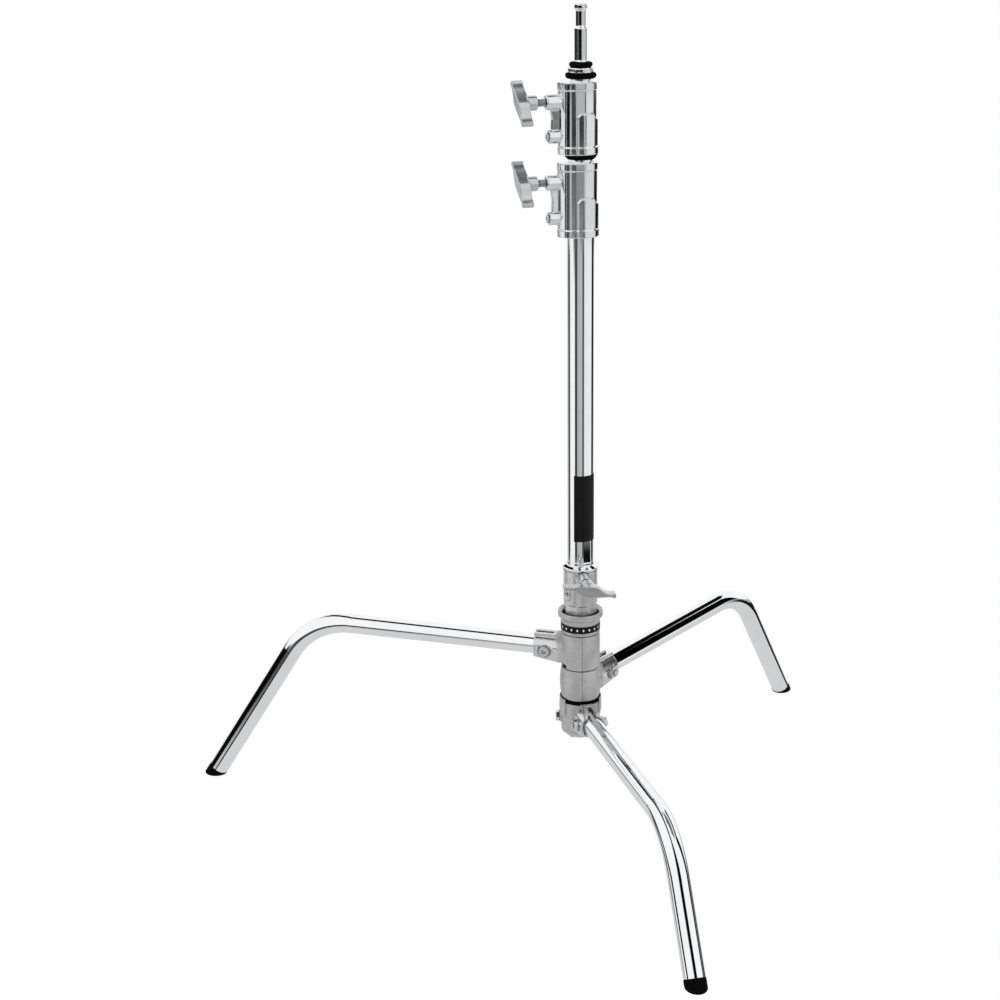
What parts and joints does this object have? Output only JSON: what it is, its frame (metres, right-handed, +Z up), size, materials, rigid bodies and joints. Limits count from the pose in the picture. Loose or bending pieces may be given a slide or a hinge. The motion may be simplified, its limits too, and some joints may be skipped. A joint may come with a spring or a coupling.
{
  "type": "light stand",
  "caption": "Studio C-stand: a column with sliding risers, T-handle clamps and a spigot on top, standing on a base of swivelling bent legs that nest together.",
  "frame": {"origin": "on the floor, on the axis of the column", "axes": "+Z up along the column and risers; +Y away from the side that the lowest leg points to"},
  "size_m": [0.8727, 0.8828, 1.08],
  "materials": {
    "chrome_tube": "polished chrome plate",
    "satin_casting": "satin bright plated casting",
    "hub_casting": "satin grey cast metal",
    "handle": "cast and bright plated",
    "steel": "zinc-plated fastener steel",
    "black_rubber": "matt",
    "black_label": "plain black film",
    "nylon": "moulded nylon",
    "brass": "machined"
  },
  "bodies": {
    "base": {"base_receiver": "hub_casting", "receiver_set_screw": "steel", "centre_post": "steel", "release_spring": "steel", "lower_leg_hub": "hub_casting", "lower_hub_set_bolt": "steel", "lower_leg_tube": "chrome_tube", "lower_leg_foot": "black_rubber", "lower_leg_bolt": "steel", "lower_leg_nut": "steel", "lower_leg_washers": "steel", "thin_washers": "nylon", "friction_washer": "black_rubber", "post_nut": "steel", "post_end_plug": "nylon"},
    "base_shoe": {"base_brake_shoe": "brass"},
    "base_handle": {"base_clamp_screw": "steel", "base_knob": "handle"},
    "release": {"release_ring": "hub_casting", "marker_band": "black_label", "release_lock_pins": "steel"},
    "upper_leg": {"upper_leg_hub": "hub_casting", "upper_leg_tube": "chrome_tube", "upper_leg_foot": "black_rubber", "upper_leg_bolt": "steel", "upper_leg_nut": "steel", "upper_leg_washers": "steel"},
    "middle_leg": {"middle_leg_hub": "hub_casting", "middle_leg_tube": "chrome_tube", "middle_leg_foot": "black_rubber", "middle_leg_bolt": "steel", "middle_leg_nut": "steel", "middle_leg_washers": "steel"},
    "column_seat": {"column_washer": "steel"},
    "column": {"column_stud": "chrome_tube", "column_tube": "chrome_tube", "column_label": "black_label", "lower_collar": "satin_casting", "lower_collar_screw": "steel"},
    "lower_shoe": {"lower_brake_shoe": "brass"},
    "lower_handle": {"lower_clamp_screw": "steel", "lower_knob": "handle"},
    "riser_1_guide": {"riser_1_bush": "nylon"},
    "riser_1": {"riser_1_tube": "chrome_tube", "upper_collar": "satin_casting", "upper_collar_bumper": "black_rubber", "upper_collar_screw": "steel"},
    "upper_shoe": {"upper_brake_shoe": "brass"},
    "upper_handle": {"upper_clamp_screw": "steel", "upper_knob": "handle"},
    "riser_2_guide": {"riser_2_bush": "nylon"},
    "riser_2": {"riser_2_tube": "chrome_tube", "riser_2_bumper": "black_rubber", "pin_o_ring": "black_rubber", "baby_pin": "chrome_tube"}
  },
  "joints": [
    {"name": "release_ring_lift", "type": "slide", "parent": "base", "child": "release", "axis": [0, 0, 1], "range_m": [0, 0.007], "stiffness_N_per_m": 400, "springref_m": -0.01, "deforming": ["release_spring"]},
    {"name": "upper_leg_swing", "type": "hinge", "parent": "base", "child": "upper_leg", "pos_m": [0, 0, 0.236], "axis": [0, 0, 1], "range_deg": [0, 113]},
    {"name": "middle_leg_swing", "type": "hinge", "parent": "base", "child": "middle_leg", "pos_m": [0, 0, 0.189], "axis": [0, 0, 1], "range_deg": [-122, 0]},
    {"name": "column_lift", "type": "slide", "parent": "base", "child": "column_seat", "axis": [0, 0, 1], "range_m": [0, 0.09]},
    {"name": "column_turn", "type": "hinge", "parent": "column_seat", "child": "column", "pos_m": [0, 0, 0.352], "axis": [0, 0, 1], "continuous": true},
    {"name": "riser_1_slide", "type": "slide", "parent": "column", "child": "riser_1_guide", "axis": [0, 0, 1], "range_m": [0, 0.36]},
    {"name": "riser_1_turn", "type": "hinge", "parent": "riser_1_guide", "child": "riser_1", "pos_m": [0, 0, 0.402], "axis": [0, 0, 1], "continuous": true},
    {"name": "riser_2_slide", "type": "slide", "parent": "riser_1", "child": "riser_2_guide", "axis": [0, 0, 1], "range_m": [0, 0.4]},
    {"name": "riser_2_turn", "type": "hinge", "parent": "riser_2_guide", "child": "riser_2", "pos_m": [0, 0, 0.43], "axis": [0, 0, 1], "continuous": true},
    {"name": "base_shoe_slide", "type": "slide", "parent": "base", "child": "base_shoe", "axis": [0.1736, -0.9848, 0], "range_m": [0, 0.003]},
    {"name": "base_handle_turn", "type": "hinge", "parent": "base_shoe", "child": "base_handle", "pos_m": [0.01042, -0.05909, 0.3436], "axis": [0.1736, -0.9848, 0], "range_deg": [0, 720]},
    {"name": "lower_shoe_slide", "type": "slide", "parent": "column", "child": "lower_shoe", "axis": [-0.9563, -0.2924, 0], "range_m": [0, 0.003]},
    {"name": "lower_handle_turn", "type": "hinge", "parent": "lower_shoe", "child": "lower_handle", "pos_m": [-0.05738, -0.01754, 0.865], "axis": [-0.9563, -0.2924, 0], "range_deg": [0, 720]},
    {"name": "upper_shoe_slide", "type": "slide", "parent": "riser_1", "child": "upper_shoe", "axis": [-0.9563, -0.2924, 0], "range_m": [0, 0.003]},
    {"name": "upper_handle_turn", "type": "hinge", "parent": "upper_shoe", "child": "upper_handle", "pos_m": [-0.05738, -0.01754, 0.9635], "axis": [-0.9563, -0.2924, 0], "range_deg": [0, 720]}
  ],
  "couplings": [
    {"joint": "base_shoe_slide", "follows": "base_handle_turn", "m_per_rad": 0.00023873},
    {"joint": "lower_shoe_slide", "follows": "lower_handle_turn", "m_per_rad": 0.00023873},
    {"joint": "upper_shoe_slide", "follows": "upper_handle_turn", "m_per_rad": 0.00023873}
  ]
}
